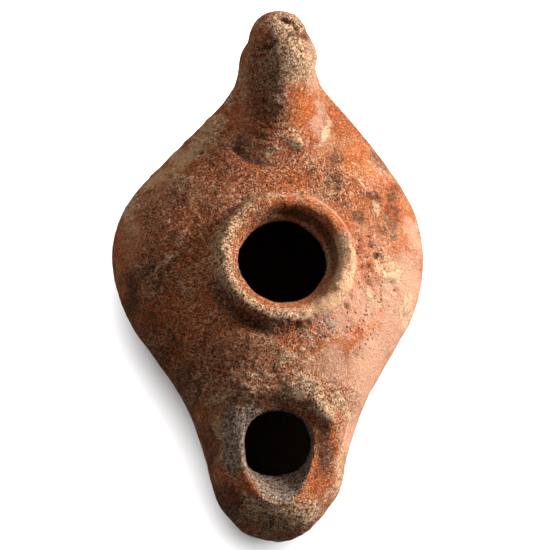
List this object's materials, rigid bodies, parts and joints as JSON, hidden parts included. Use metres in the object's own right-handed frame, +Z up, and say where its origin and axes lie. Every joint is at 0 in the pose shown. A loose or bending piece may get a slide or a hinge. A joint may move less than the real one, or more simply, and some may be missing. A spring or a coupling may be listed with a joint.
{
  "type": "roman oil lamp",
  "caption": "Hollow fired-clay oil lamp with a round body, ringed filling hole, rounded nozzle with wick hole, and solid horn handle.",
  "frame": {"origin": "middle of the flat round foot, on the surface that the lamp stands on", "axes": "+Z up, +Y towards the handle, -Y towards the nozzle, +X to the right seen from above with the handle at the top"},
  "size_m": [0.0706, 0.1135, 0.0483],
  "materials": {
    "fired_clay": "matte red-orange fired clay with worn dark red slip, buff lime crust, and soot at the nozzle"
  },
  "bodies": {
    "root": {"lamp_body": "fired_clay"}
  },
  "joints": []
}
